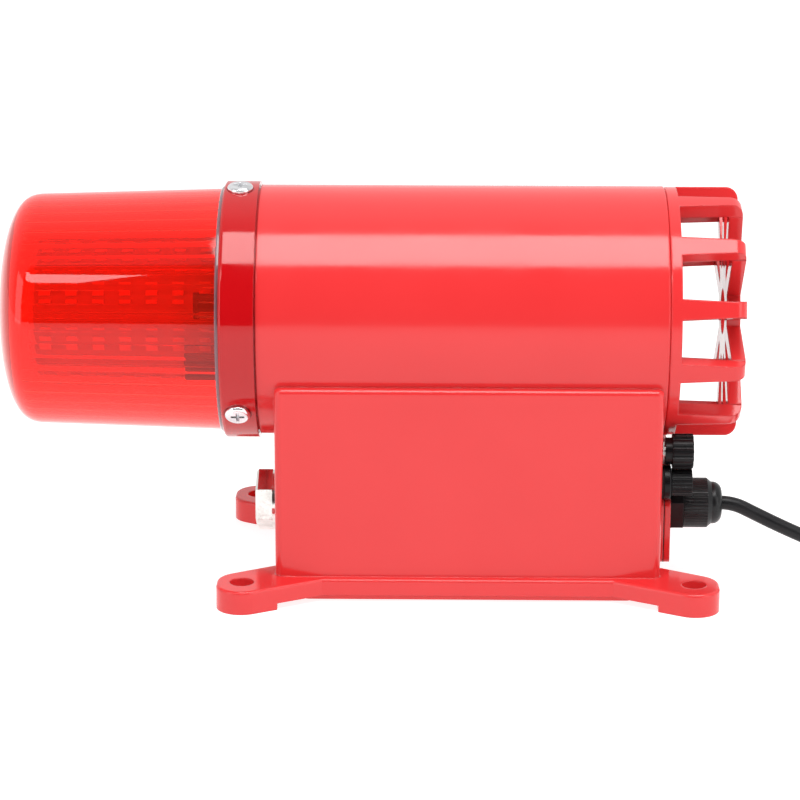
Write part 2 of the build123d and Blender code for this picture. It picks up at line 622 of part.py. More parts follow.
with BuildPart() as volume_knob:
    with BuildSketch(across(KNOB_NECK_LEFT, KNOB_Y, KNOB_Z)):
        Circle(KNOB_NECK_R)
    extrude(amount=KNOB_LEFT - KNOB_NECK_LEFT)
    with BuildSketch(across(KNOB_LEFT, KNOB_Y, KNOB_Z)):
        Circle(KNOB_R)
        with PolarLocations(KNOB_R + 0.7, KNOB_FLUTES):
            Circle(1.5, mode=Mode.SUBTRACT)
    extrude(amount=KNOB_RIGHT - KNOB_LEFT)
    fillet(volume_knob.edges().group_by(Axis.X)[-1], 0.5)
    with BuildSketch(across(KNOB_NECK_LEFT, KNOB_Y, KNOB_Z)):
        Circle(4.0)
    extrude(amount=1.6, mode=Mode.SUBTRACT)
    with BuildSketch(across(KNOB_NECK_LEFT, KNOB_Y, KNOB_Z)):
        Circle(SHAFT_R)
    extrude(amount=9.1, mode=Mode.SUBTRACT)
    with BuildSketch(across(KNOB_RIGHT, KNOB_Y, KNOB_Z)):
        with Locations((0, 4.4)):
            Rectangle(1.0, 4.4)
    extrude(amount=-0.5, mode=Mode.SUBTRACT)

volume_knob.part.label = "volume_knob"
export_step(volume_knob.part, "parts/volume_knob.step")

# ================================================================ fuse holder
FUSE_FLANGE_X = (85.2, 88.2)
FUSE_FLANGE_R = 7.8
FUSE_TUBE_R, FUSE_BORE_R = 6.1, 4.4
FUSE_TUBE_LEFT = 54.0
FUSE_CAP_R, FUSE_CAP_RIGHT = 6.0, 97.4
FUSE_GLASS_R, FUSE_END_R = 2.45, 2.6
FUSE_LEFT, FUSE_RIGHT = 64.5, 84.5

with BuildPart() as fuse_washer:
    with BuildSketch(across(BOX_X, FUSE_Y, FUSE_Z)):
        Circle(FUSE_FLANGE_R - 0.5)
        Circle(FUSE_TUBE_R, mode=Mode.SUBTRACT)
    extrude(amount=FUSE_FLANGE_X[0] - BOX_X)

fuse_washer.part.label = "fuse_washer"
export_step(fuse_washer.part, "parts/fuse_washer.step")

with BuildPart() as fuse_holder:
    with BuildSketch(across(FUSE_FLANGE_X[0], FUSE_Y, FUSE_Z)):
        Circle(FUSE_FLANGE_R)
    extrude(amount=FUSE_FLANGE_X[1] - FUSE_FLANGE_X[0])
    fillet(fuse_holder.edges().group_by(Axis.X)[-1], 0.8)
    with BuildSketch(across(FUSE_TUBE_LEFT, FUSE_Y, FUSE_Z)):
        Circle(FUSE_TUBE_R)
    extrude(amount=FUSE_FLANGE_X[0] - FUSE_TUBE_LEFT)
    with BuildSketch(across(FUSE_LEFT - 3.5, FUSE_Y, FUSE_Z)):
        Circle(FUSE_BORE_R)
    extrude(amount=40, mode=Mode.SUBTRACT)

fuse_holder.part.label = "fuse_holder"
export_step(fuse_holder.part, "parts/fuse_holder.step")

with BuildPart() as fuse_nut:
    with BuildSketch(across(INNER_WALL_X - 3, FUSE_Y, FUSE_Z)):
        Circle(7.5)
        with PolarLocations(7.5, 4, start_angle=45):
            Rectangle(1.6, 1.6, mode=Mode.SUBTRACT)
        Circle(FUSE_TUBE_R + 0.02, mode=Mode.SUBTRACT)
    extrude(amount=3)

fuse_nut.part.label = "fuse_nut"
export_step(fuse_nut.part, "parts/fuse_nut.step")

with BuildPart() as fuse_contact:
    with BuildSketch(across(FUSE_LEFT - 3.5, FUSE_Y, FUSE_Z)):
        Circle(3.2)
    extrude(amount=3.1)
    with BuildSketch(across(FUSE_TUBE_LEFT - 8, FUSE_Y, FUSE_Z)):
        Rectangle(0.8, 4.8)
    extrude(amount=8)

fuse_contact.part.label = "fuse_contact"
export_step(fuse_contact.part, "parts/fuse_contact.step")

with BuildPart() as fuse_glass:
    with BuildSketch(across(FUSE_LEFT + 5, FUSE_Y, FUSE_Z)):
        Circle(FUSE_GLASS_R)
        Circle(FUSE_GLASS_R - 0.5, mode=Mode.SUBTRACT)
    extrude(amount=FUSE_RIGHT - FUSE_LEFT - 10)

fuse_glass.part.label = "fuse_glass"
export_step(fuse_glass.part, "parts/fuse_glass.step")

with BuildPart() as fuse_end_caps:
    for x in (FUSE_LEFT, FUSE_RIGHT - 5):
        with BuildSketch(across(x, FUSE_Y, FUSE_Z)):
            Circle(FUSE_END_R)
        extrude(amount=5)

fuse_end_caps.part.label = "fuse_end_caps"
export_step(fuse_end_caps.part, "parts/fuse_end_caps.step")

with BuildPart() as fuse_cap:
    with BuildSketch(across(FUSE_FLANGE_X[1] + 0.35, FUSE_Y, FUSE_Z)):
        Circle(FUSE_CAP_R)
        with PolarLocations(FUSE_CAP_R + 0.25, 24):
            Circle(0.55, mode=Mode.SUBTRACT)
    extrude(amount=FUSE_CAP_RIGHT - FUSE_FLANGE_X[1] - 0.35)
    fillet(fuse_cap.edges().group_by(Axis.X)[-1], 0.25)
    with BuildSketch(across(FUSE_RIGHT - 3, FUSE_Y, FUSE_Z)):
        Circle(FUSE_BORE_R - 0.4)
    extrude(amount=FUSE_FLANGE_X[1] + 1 - FUSE_RIGHT + 3)
    with BuildSketch(across(FUSE_RIGHT - 3, FUSE_Y, FUSE_Z)):
        Circle(FUSE_END_R + 0.05)
    extrude(amount=3.3, mode=Mode.SUBTRACT)
    with BuildSketch(across(FUSE_CAP_RIGHT, FUSE_Y, FUSE_Z)):
        Rectangle(7.5, 1.3)
    extrude(amount=-1.6, mode=Mode.SUBTRACT)

fuse_cap.part.label = "fuse_cap"
export_step(fuse_cap.part, "parts/fuse_cap.step")

# ================================================================ cable gland
PLATE_LEFT = PLATE_X0 + GASKET_T
PLATE_RIGHT = PLATE_LEFT + PLATE_T
GLAND_HEX_LEFT = PLATE_RIGHT
GLAND_HEX_RIGHT = GLAND_HEX_LEFT + 6.0
HEX_TURN = -16.0
GLAND_AF = 22.0
THREAD_R = 8.0
GLAND_INNER_LEFT = 72.0
NUT_LEFT, NUT_RIGHT, DOME_RIGHT = GLAND_HEX_RIGHT + 0.2, 107.4, 112.0
NUT_R, DOME_R = 11.0, 9.3

with BuildSketch() as plate_outline:
    add(pad_face.sketch)
    with Locations((GLAND_Y, GLAND_Z)):
        Circle(THREAD_R + 0.3, mode=Mode.SUBTRACT)
    with Locations(*PLATE_SCREWS):
        Circle(1.8, mode=Mode.SUBTRACT)

with BuildPart() as plate_gasket:
    with BuildSketch(across(PLATE_X0, z=0)):
        add(plate_outline.sketch)
    extrude(amount=GASKET_T)

plate_gasket.part.label = "plate_gasket"
export_step(plate_gasket.part, "parts/plate_gasket.step")

with BuildPart() as gland_plate:
    with BuildSketch(across(PLATE_LEFT, z=0)):
        add(plate_outline.sketch)
    extrude(amount=PLATE_T)
    with Locations(*[across(PLATE_RIGHT, y, z) for y, z in PLATE_SCREWS]):
        CounterSinkHole(1.8, 3.2, depth=PLATE_T, counter_sink_angle=90)

gland_plate.part.label = "gland_plate"
export_step(gland_plate.part, "parts/gland_plate.step")

PLATE_SCREW = cross_screw(3.0, 1.5, 1.5, 8.0, countersunk=True)

with BuildPart() as plate_screws:
    with Locations(*[across(PLATE_RIGHT, y, z) for y, z in PLATE_SCREWS]):
        add(PLATE_SCREW)

plate_screws.part.label = "plate_screws"
export_step(plate_screws.part, "parts/plate_screws.step")

with BuildPart() as gland_body:
    with BuildSketch(across(GLAND_INNER_LEFT, GLAND_Y, GLAND_Z)):
        Circle(THREAD_R - 0.1)
    extrude(amount=GLAND_HEX_LEFT - GLAND_INNER_LEFT)
    with BuildSketch(across(GLAND_HEX_LEFT, GLAND_Y, GLAND_Z)):
        RegularPolygon(GLAND_AF / 2, 6, major_radius=False, rotation=HEX_TURN)
    extrude(amount=GLAND_HEX_RIGHT - GLAND_HEX_LEFT)
    with BuildSketch(across(GLAND_HEX_RIGHT, GLAND_Y, GLAND_Z)):
        Circle(8.6)
    extrude(amount=6)
    with BuildSketch(across(GLAND_INNER_LEFT, GLAND_Y, GLAND_Z)):
        Circle(5.0)
    extrude(amount=40, mode=Mode.SUBTRACT)

gland_body.part.label = "gland_body"
export_step(gland_body.part, "parts/gland_body.step")

NUT_FLAT_RIGHT, DOME_CORNER, DOME_WALL = NUT_RIGHT - 2.0, 4.0, 4.5

with BuildPart() as gland_nut:
    add(turned([(NUT_LEFT, 8.75), (NUT_LEFT, NUT_R), (NUT_FLAT_RIGHT, NUT_R),
                (NUT_RIGHT, DOME_R), (DOME_RIGHT, DOME_R),
                (DOME_RIGHT, CORD_R + 0.25), (DOME_RIGHT - DOME_WALL, CORD_R + 0.25),
                (DOME_RIGHT - DOME_WALL, 8.75)], GLAND_Y, GLAND_Z))
    rim = gland_nut.edges().filter_by(GeomType.CIRCLE).group_by(Axis.X)[-1].sort_by(SortBy.RADIUS)[-1]
    fillet(rim, DOME_CORNER)
    # fine grip ribs
    with BuildSketch(across(NUT_LEFT, GLAND_Y, GLAND_Z)):
        with PolarLocations(NUT_R + 0.12, 48):
            Circle(0.34)
    extrude(amount=NUT_FLAT_RIGHT - NUT_LEFT, mode=Mode.SUBTRACT)

gland_nut.part.label = "gland_nut"
export_step(gland_nut.part, "parts/gland_nut.step")

with BuildPart() as gland_insert:
    with BuildSketch(across(GLAND_HEX_RIGHT + 6.1, GLAND_Y, GLAND_Z)):
        Circle(8.5)
        Circle(CORD_R + 0.05, mode=Mode.SUBTRACT)
    extrude(amount=5.0)

gland_insert.part.label = "gland_insert"
export_step(gland_insert.part, "parts/gland_insert.step")

LOCK_NUT = hexagon_plate(GLAND_AF, 4.0, THREAD_R)

with BuildPart() as gland_locknut:
    with Locations(across(INNER_WALL_X - 4, GLAND_Y, GLAND_Z)):
        add(LOCK_NUT)

gland_locknut.part.label = "gland_locknut"
export_step(gland_locknut.part, "parts/gland_locknut.step")

# ================================================================ blanking plug of the second entry
PLUG_AF, PLUG_FLANGE_R = 24.0, 13.4
PLUG_WASHER_T, PLUG_FLANGE_T, PLUG_HEX_T = 1.2, 2.4, 7.4
PLUG_TURN = 24.0

with BuildPart() as plug_washer:
    with BuildSketch(across(-BOX_X - PLUG_WASHER_T, 0, PLUG_Z)):
        Circle(PLUG_FLANGE_R - 0.6)
        Circle(8.0, mode=Mode.SUBTRACT)
    extrude(amount=PLUG_WASHER_T)

plug_washer.part.label = "plug_washer"
export_step(plug_washer.part, "parts/plug_washer.step")

PLUG_FACE = -BOX_X - PLUG_WASHER_T
with BuildPart() as entry_plug:
    with BuildSketch(across(PLUG_FACE, 0, PLUG_Z)):
        Circle(7.9)
    extrude(amount=12)
    with BuildSketch(across(PLUG_FACE - PLUG_FLANGE_T, 0, PLUG_Z)):
        Circle(PLUG_FLANGE_R)
    extrude(amount=PLUG_FLANGE_T)
    with BuildSketch(across(PLUG_FACE - PLUG_FLANGE_T - PLUG_HEX_T, 0, PLUG_Z)):
        RegularPolygon(PLUG_AF / 2, 6, major_radius=False, rotation=PLUG_TURN)
        Circle(8.2, mode=Mode.SUBTRACT)
    extrude(amount=PLUG_HEX_T)
    chamfer(entry_plug.edges().group_by(Axis.X)[0].filter_by(GeomType.LINE), 1.0)
    with BuildSketch(across(PLUG_FACE - PLUG_FLANGE_T - PLUG_HEX_T + 2, 0, PLUG_Z)):
        Circle(8.3)
    extrude(amount=3)

entry_plug.part.label = "entry_plug"
export_step(entry_plug.part, "parts/entry_plug.step")

# ================================================================ bottom cover
COVER_X, COVER_Y, COVER_CORNER, COVER_T = 72.5, 57.0, 4.0, 1.9
COVER_TOP = BASE_BOTTOM
COVER_BOTTOM = COVER_TOP - COVER_T
COVER_HOLE_R = 1.9
COVER_SPOTS = [(x, y) for x in (-BOSS_X, BOSS_X) for y in (-BOSS_Y, BOSS_Y)]

CORE_W, CORE_T, CORE_H = 46.0, 26.0, 40.0
CORE_X, CORE_Z = -36.0, COVER_TOP + CORE_H / 2
STRAP_T, STRAP_FOOT = 1.2, 7.0
STRAP_TOP = CORE_Z + CORE_H / 2 + STRAP_T
STRAP_OUT = CORE_W / 2 + STRAP_T + 0.1
STRAP_SPOTS = [(CORE_X + side * (STRAP_OUT + STRAP_FOOT / 2), 0) for side in (-1, 1)]

with BuildPart() as bottom_cover:
    with BuildSketch(Plane.XY.offset(COVER_BOTTOM)):
        RectangleRounded(2 * COVER_X, 2 * COVER_Y, COVER_CORNER)
    extrude(amount=COVER_T)
    with BuildSketch(Plane.XY.offset(COVER_TOP)):
        with Locations(*STRAP_SPOTS):
            Circle(1.3)
    extrude(amount=-1.5, mode=Mode.SUBTRACT)
    with Locations(Plane((0, 0, COVER_BOTTOM), x_dir=(1, 0, 0), z_dir=(0, 0, -1))):
        with Locations(*COVER_SPOTS):
            CounterSinkHole(COVER_HOLE_R, 3.75, depth=COVER_T, counter_sink_angle=90)

bottom_cover.part.label = "bottom_cover"
export_step(bottom_cover.part, "parts/bottom_cover.step")

with BuildPart() as cover_gasket:
    with BuildSketch(Plane.XY.offset(COVER_TOP)):
        RectangleRounded(2 * REBATE_X - 1, 2 * REBATE_Y - 1, 3.5)
        Rectangle(2 * OPENING_X + 0.8, 2 * OPENING_Y + 0.8, mode=Mode.SUBTRACT)
        with Locations(*COVER_SPOTS):
            Circle(BOSS_R - 1.6)
            Circle(COVER_HOLE_R, mode=Mode.SUBTRACT)
    extrude(amount=REBATE_DEPTH)

cover_gasket.part.label = "cover_gasket"
export_step(cover_gasket.part, "parts/cover_gasket.step")

COVER_SCREW = cross_screw(3.6, 1.6, 1.6, 14.0, countersunk=True)

with BuildPart() as cover_screws:
    with Locations(Plane((0, 0, COVER_BOTTOM), x_dir=(1, 0, 0), z_dir=(0, 0, -1))):
        with Locations(*COVER_SPOTS):
            add(COVER_SCREW)

cover_screws.part.label = "cover_screws"
export_step(cover_screws.part, "parts/cover_screws.step")

# ================================================================ electronics in the box
PCB_X, PCB_Y, PCB_Z = (-9.0, 66.0), 39.5, 16.0
PCB_TOP = PCB_Z + BOARD_T
PCB_MID = sum(PCB_X) / 2
PCB_SPOTS = [(x, y) for x in (-34, 34) for y in (-36, 36)]

with BuildPart() as main_board:
    with BuildSketch(Plane((PCB_MID, 0, PCB_Z))):
        Rectangle(PCB_X[1] - PCB_X[0], 2 * PCB_Y)
        with Locations(*PCB_SPOTS):
            Circle(1.7, mode=Mode.SUBTRACT)
    extrude(amount=BOARD_T)

main_board.part.label = "main_board"
export_step(main_board.part, "parts/main_board.step")

with BuildPart() as board_standoffs:
    with BuildSketch(Plane((PCB_MID, 0, COVER_TOP))):
        with Locations(*PCB_SPOTS):
            RegularPolygon(3.0, 6)
            Circle(1.3, mode=Mode.SUBTRACT)
    extrude(amount=PCB_Z - COVER_TOP)

board_standoffs.part.label = "board_standoffs"
export_step(board_standoffs.part, "parts/board_standoffs.step")

BOARD_SCREW = cross_screw(2.8, 1.8, 1.25, 7.0)

STRAP_SCREW = cross_screw(2.8, 1.8, 1.25, 2.5)

with BuildPart() as board_screws:
    with Locations(*[(PCB_MID + x, y, PCB_TOP) for x, y in PCB_SPOTS]):
        add(BOARD_SCREW)
    with Locations(*[(x, y, COVER_TOP + STRAP_T) for x, y in STRAP_SPOTS]):
        add(STRAP_SCREW)

board_screws.part.label = "board_screws"
export_step(board_screws.part, "parts/board_screws.step")

# x, y, radius and height of each filter capacitor
CAP_SPOTS = ((14.0, -22.0, 9.0, 30.0), (14.0, 2.0, 9.0, 30.0), (34.0, -30.0, 5.0, 16.0),
             (-4.0, 24.0, 4.0, 11.0))

with BuildPart() as filter_capacitors:
    for x, y, radius, height in CAP_SPOTS:
        with BuildSketch(Plane((x, y, PCB_TOP))):
            Circle(radius)
        extrude(amount=height)

filter_capacitors.part.label = "filter_capacitors"
export_step(filter_capacitors.part, "parts/filter_capacitors.step")

SINK_X, SINK_Y, SINK_H = 34.0, 26.0, 30.0

with BuildPart() as heat_sink:
    with BuildSketch(Plane((SINK_X, SINK_Y, PCB_TOP))):
        Rectangle(4, 26)
        with GridLocations(1, 5, 1, 5):
            with Locations((7, 0)):
                Rectangle(12, 1.4)
    extrude(amount=SINK_H)

heat_sink.part.label = "heat_sink"
export_step(heat_sink.part, "parts/heat_sink.step")

with BuildPart() as power_transistors:
    with Locations(*[(SINK_X - 2 - 2.2, SINK_Y + dy, PCB_TOP + 14) for dy in (-7, 7)]):
        Box(4.4, 10, 15)
        with Locations((0, 0, -10.75)):
            Box(0.7, 6.0, 6.5)

power_transistors.part.label = "power_transistors"
export_step(power_transistors.part, "parts/power_transistors.step")

TERMINAL_X, TERMINAL_Y, TERMINAL_POLES, TERMINAL_PITCH = 56.0, 6.0, 7, 7.0
TERMINAL_FACE = TERMINAL_X + 5.5
WIRE_R, WIRE_Z = 0.9, PCB_TOP + 6
WIRE_IN_X = TERMINAL_FACE - 3
POLES_Y = [TERMINAL_Y + TERMINAL_PITCH * (i - (TERMINAL_POLES - 1) / 2) for i in range(TERMINAL_POLES)]

with BuildPart() as terminal_block:
    with Locations((TERMINAL_X, TERMINAL_Y, PCB_TOP + 6)):
        Box(11, TERMINAL_POLES * TERMINAL_PITCH, 12)
    with BuildSketch(Plane((TERMINAL_X, TERMINAL_Y, PCB_TOP + 12))):
        with GridLocations(1, TERMINAL_PITCH, 1, TERMINAL_POLES):
            Circle(2.4)
    extrude(amount=-3, mode=Mode.SUBTRACT)
    with Locations(*[across(TERMINAL_FACE, y, WIRE_Z) for y in POLES_Y]):
        Cylinder(WIRE_R + 0.1, 2 * (TERMINAL_FACE - WIRE_IN_X), mode=Mode.SUBTRACT)

terminal_block.part.label = "terminal_block"
export_step(terminal_block.part, "parts/terminal_block.step")

with BuildPart() as transformer_core:
    with BuildSketch(Plane((CORE_X, 0, CORE_Z), x_dir=(1, 0, 0), z_dir=(0, -1, 0))):
        Rectangle(CORE_W, CORE_H)
        with Locations((-11.5, 0), (11.5, 0)):
            Rectangle(9, 26, mode=Mode.SUBTRACT)
    extrude(amount=CORE_T / 2, both=True)

transformer_core.part.label = "transformer_core"
export_step(transformer_core.part, "parts/transformer_core.step")

with BuildPart() as transformer_winding:
    with BuildSketch(Plane((CORE_X, 0, CORE_Z - 12.5))):
        RectangleRounded(31.4, CORE_T + 16, 6)
        Rectangle(14.4, CORE_T + 0.4, mode=Mode.SUBTRACT)
    extrude(amount=25)

transformer_winding.part.label = "transformer_winding"
export_step(transformer_winding.part, "parts/transformer_winding.step")

with BuildPart() as transformer_strap:
    with BuildSketch(Plane((CORE_X, 0, 0), x_dir=(1, 0, 0), z_dir=(0, -1, 0))):
        with BuildLine():
            Polyline((-STRAP_OUT - STRAP_FOOT, COVER_TOP), (-STRAP_OUT + STRAP_T, COVER_TOP),
                     (-STRAP_OUT + STRAP_T, STRAP_TOP - STRAP_T), (STRAP_OUT - STRAP_T, STRAP_TOP - STRAP_T),
                     (STRAP_OUT - STRAP_T, COVER_TOP), (STRAP_OUT + STRAP_FOOT, COVER_TOP),
                     (STRAP_OUT + STRAP_FOOT, COVER_TOP + STRAP_T), (STRAP_OUT, COVER_TOP + STRAP_T),
                     (STRAP_OUT, STRAP_TOP), (-STRAP_OUT, STRAP_TOP), (-STRAP_OUT, COVER_TOP + STRAP_T),
                     (-STRAP_OUT - STRAP_FOOT, COVER_TOP + STRAP_T), close=True)
        make_face()
    extrude(amount=7, both=True)
    with Locations(*[(x, y, COVER_TOP) for x, y in STRAP_SPOTS]):
        Cylinder(1.4, 4, mode=Mode.SUBTRACT)

transformer_strap.part.label = "transformer_strap"
export_step(transformer_strap.part, "parts/transformer_strap.step")


# ================================================================ wiring inside
def corner_radii(points):
    """Largest even bend at each corner of a route: 0.45 of its shorter run over tan(half turn)."""
    radii = []
    for before, here, after in zip(points, points[1:], points[2:]):
        run_in = Vector(*here) - Vector(*before)
        run_out = Vector(*after) - Vector(*here)
        half_turn = radians(run_in.get_angle(run_out)) / 2
        radii.append(0.45 * min(run_in.length, run_out.length) / tan(half_turn))
    return radii


def tube_along(points, radius):
    """Round tube along straight runs joined by tangent arcs."""
    with BuildPart() as tube:
        with BuildLine() as path:
            FilletPolyline(*points, radius=corner_radii(points))
        with BuildSketch(Plane(points[0], z_dir=Vector(*points[1]) - Vector(*points[0]))):
            Circle(radius)
        sweep(path=path.wires()[0])
    return tube.part


WIRE_TURN_X = TERMINAL_FACE + 4
GLAND_END_X = 103.4
SUPPLY_LEVELS = (-2.0, 0.0, 2.0)
LAMP_ROUTE = [(66, 63.3), (20, 73.3), (-40, 79.3), (-84, 99.3), (-98, 113.3), (-112, 115.3)]
HORN_ROUTE = [(66, 57.3), (30, 65.3), (-24, 71.3), (-33, 85.3), (-28, 99.3)]

with BuildPart() as internal_wires:
    # mains cores from the gland to the terminal block
    for y_end, level in zip(POLES_Y[:3], SUPPLY_LEVELS):
        add(tube_along([(GLAND_END_X, GLAND_Y, GLAND_Z + level), (71, GLAND_Y, GLAND_Z + level),
                        (WIRE_TURN_X, y_end, WIRE_Z), (WIRE_IN_X, y_end, WIRE_Z)], WIRE_R))
    # pair to the light column
    for y_end, y_lamp in zip(POLES_Y[3:5], (-1.6, 1.6)):
        add(tube_along([(WIRE_IN_X, y_end, WIRE_Z), (WIRE_TURN_X, y_end, WIRE_Z)]
                       + [(x, y_end + (y_lamp - y_end) * (66 - x) / 178, z) for x, z in LAMP_ROUTE], WIRE_R))
    # pair to the horn driver
    for y_end, y_horn in zip(POLES_Y[5:], (4.0, 9.0)):
        add(tube_along([(WIRE_IN_X, y_end, WIRE_Z), (WIRE_TURN_X, y_end, WIRE_Z)]
                       + [(x, y_end + (y_horn - y_end) * (66 - x) / 94, z) for x, z in HORN_ROUTE]
                       + [(COVER_LEFT, y_horn, HORN_ROUTE[-1][1])], WIRE_R))

internal_wires.part.label = "internal_wires"
export_step(internal_wires.part, "parts/internal_wires.step")

# ================================================================ cord
TOP_LAYER_Z = 3 * CORD_R + 0.2
FLOOR_Z = CORD_R + 0.05
TANGENT_Y = COIL_Y - COIL_OUT_R
CORD_ROUTE = [(103.5, GLAND_Y, GLAND_Z), (117.2, GLAND_Y, GLAND_Z), (142.0, -21.5, 21.6),
              (163.0, -21.8, 12.2), (181.0, -21.7, 5.6), (198.0, TANGENT_Y, FLOOR_Z)]
CORE_R = 1.1
FERRULE_R, FERRULE_LENGTH, SLEEVE_R, SLEEVE_LENGTH = 0.85, 8.0, 1.6, 4.5
CORE_FANS = (-1, 0, 1)


def core_route(fan):
    """Route of one core, out of the coil's upper layer and down to the floor."""
    return [(208, TANGENT_Y + 1.9 * fan, TOP_LAYER_Z), (219, TANGENT_Y - 0.3 + 2.6 * fan, 8.6),
            (229, TANGENT_Y - 1.0 + 4.2 * fan, 4.8), (238, TANGENT_Y - 2.0 + 6.2 * fan, 2.0),
            (247, TANGENT_Y - 3.4 + 8.6 * fan, SLEEVE_R + 0.1)]


with BuildPart() as cord:
    add(tube_along(CORD_ROUTE, CORD_R))

cord.part.label = "cord"
export_step(cord.part, "parts/cord.step")

with BuildPart() as cord_cores:
    for fan in CORE_FANS:
        add(tube_along(core_route(fan), CORE_R))

cord_cores.part.label = "cord_cores"
export_step(cord_cores.part, "parts/cord_cores.step")

with BuildPart() as cord_ferrules:
    for fan in CORE_FANS:
        *_, before, end = core_route(fan)
        along = Vector(*end) - Vector(*before)
        with BuildSketch(Plane(end, z_dir=along)):
            Circle(SLEEVE_R)
        extrude(amount=SLEEVE_LENGTH)
        with BuildSketch(Plane(end, z_dir=along)):
            Circle(FERRULE_R)
        extrude(amount=SLEEVE_LENGTH + FERRULE_LENGTH)

cord_ferrules.part.label = "cord_ferrules"
export_step(cord_ferrules.part, "parts/cord_ferrules.step")

with BuildPart() as cord_coil:
    with BuildSketch(Plane.XZ.offset(-COIL_Y)):
        with Locations((COIL_X + (COIL_IN_R + COIL_OUT_R) / 2, 2 * CORD_R + 0.1)):
            RectangleRounded(COIL_OUT_R - COIL_IN_R + 2 * CORD_R, 4 * CORD_R + 0.2, 2.4)
    revolve(axis=Axis((COIL_X, COIL_Y, 0), (0, 0, 1)))

cord_coil.part.label = "cord_coil"
export_step(cord_coil.part, "parts/cord_coil.step")

print("cord radii", [round(r) for r in corner_radii(CORD_ROUTE)], "tube length",
      round(cord.part.volume / (pi * CORD_R**2), 1))
print("core radii", [round(r) for r in corner_radii(core_route(1))])
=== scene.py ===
"""Looks of the alarm siren: camera, studio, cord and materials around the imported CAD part.

Metres, in the frame of the part: +Z up, +X towards the horn guard, -X towards the beacon.
"""

import json
import math

import bpy
from mathutils import Euler, Matrix, Vector


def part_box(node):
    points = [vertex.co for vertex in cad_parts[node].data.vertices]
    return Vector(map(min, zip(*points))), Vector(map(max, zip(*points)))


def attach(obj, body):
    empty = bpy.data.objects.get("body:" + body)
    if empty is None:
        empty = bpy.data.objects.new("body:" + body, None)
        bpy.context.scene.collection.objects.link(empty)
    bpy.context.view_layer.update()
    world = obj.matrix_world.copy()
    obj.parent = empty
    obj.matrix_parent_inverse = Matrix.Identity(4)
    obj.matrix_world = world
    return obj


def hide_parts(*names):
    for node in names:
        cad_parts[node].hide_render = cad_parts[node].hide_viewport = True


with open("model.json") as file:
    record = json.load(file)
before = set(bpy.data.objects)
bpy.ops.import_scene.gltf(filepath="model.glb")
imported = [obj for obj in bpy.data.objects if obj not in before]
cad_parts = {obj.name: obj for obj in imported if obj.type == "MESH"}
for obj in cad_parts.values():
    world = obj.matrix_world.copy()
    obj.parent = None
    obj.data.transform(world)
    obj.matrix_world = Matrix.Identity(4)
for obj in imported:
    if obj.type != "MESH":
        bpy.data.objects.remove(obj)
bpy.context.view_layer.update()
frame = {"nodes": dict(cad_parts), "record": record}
NODES = frame["nodes"]

MM = 0.001
LENS_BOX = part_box("lens")
TUBE_AXIS_Z = (LENS_BOX[0][2] + LENS_BOX[1][2]) / 2

# ------------------------------------------------------------------ camera
CAMERA_AT = Vector((-0.0105, -1.2998, 0.4516))
CAMERA_PITCH, CAMERA_YAW, CAMERA_ROLL = -16.174, 0.869, 0.058
CAMERA_LENS, CAMERA_SENSOR = 136.75, 36.0
CAMERA_CLIP = (0.01, 50.0)


def make_camera():
    """The camera, looking a little down on the siren's near side."""
    data = bpy.data.cameras.new("camera")
    data.lens = CAMERA_LENS
    data.sensor_width = CAMERA_SENSOR
    data.clip_start, data.clip_end = CAMERA_CLIP
    camera = bpy.data.objects.new("camera", data)
    bpy.context.collection.objects.link(camera)
    aim = Euler((math.radians(90 + CAMERA_PITCH), 0, math.radians(CAMERA_YAW)))
    roll = Matrix.Rotation(math.radians(CAMERA_ROLL), 4, "Z")
    camera.matrix_world = Matrix.Translation(CAMERA_AT) @ aim.to_matrix().to_4x4() @ roll
    bpy.context.scene.camera = camera


# ------------------------------------------------------------------ node helpers
BEVEL_SAMPLES = 6
MIX_FACTOR, MIX_FIRST, MIX_SECOND, MIX_RESULT = 0, 6, 7, 2  # colour sockets of the Mix node


def new_material(name):
    """An empty node material: the material, its tree and its Principled shader."""
    material = bpy.data.materials.new(name)
    material.use_nodes = True
    return material, material.node_tree, material.node_tree.nodes["Principled BSDF"]


def add_node(tree, kind, *links, **values):
    """A new node: links go to its first inputs in order, values are set on inputs by name."""
    node = tree.nodes.new(kind)
    for name, value in values.items():
        node.inputs[name.replace("_", " ")].default_value = value
    for socket, output in zip(node.inputs, links):
        tree.links.new(output, socket)
    return node


def place(tree, stretch):
    """Object coordinates, in metres, stretched along each axis."""
    coords = tree.nodes.new("ShaderNodeTexCoord")
    mapping = add_node(tree, "ShaderNodeMapping", coords.outputs["Object"])
    mapping.inputs["Scale"].default_value = stretch
    return mapping.outputs["Vector"]


def noise(tree, scale, detail, stretch=(1, 1, 1)):
    """Noise with features of about 1/scale metres."""
    node = add_node(tree, "ShaderNodeTexNoise", Scale=scale, Detail=detail)
    tree.links.new(place(tree, stretch), node.inputs["Vector"])
    return node.outputs["Fac"]


def ramp(tree, value, *stops):
    """Colour ramp through (position, colour) stops; a colour may be a grey level."""
    node = tree.nodes.new("ShaderNodeValToRGB")
    tree.links.new(value, node.inputs["Fac"])
    elements = node.color_ramp.elements
    while len(elements) < len(stops):
        elements.new(0.5)
    for element, (position, colour) in zip(elements, stops):
        element.position = position
        element.color = (*colour, 1) if isinstance(colour, tuple) else (colour, colour, colour, 1)
    return node.outputs["Color"]


def mix(tree, factor, first, second):
    """Mix of two colours; each of the three may be an output or a value."""
    node = tree.nodes.new("ShaderNodeMix")
    node.data_type = "RGBA"
    sockets = [node.inputs[i] for i in (MIX_FACTOR, MIX_FIRST, MIX_SECOND)]
    for socket, value in zip(sockets, (factor, first, second)):
        if isinstance(value, bpy.types.NodeSocket):
            tree.links.new(value, socket)
        elif isinstance(value, tuple):
            socket.default_value = (*value, 1)
        else:
            socket.default_value = value
    return node.outputs[MIX_RESULT]


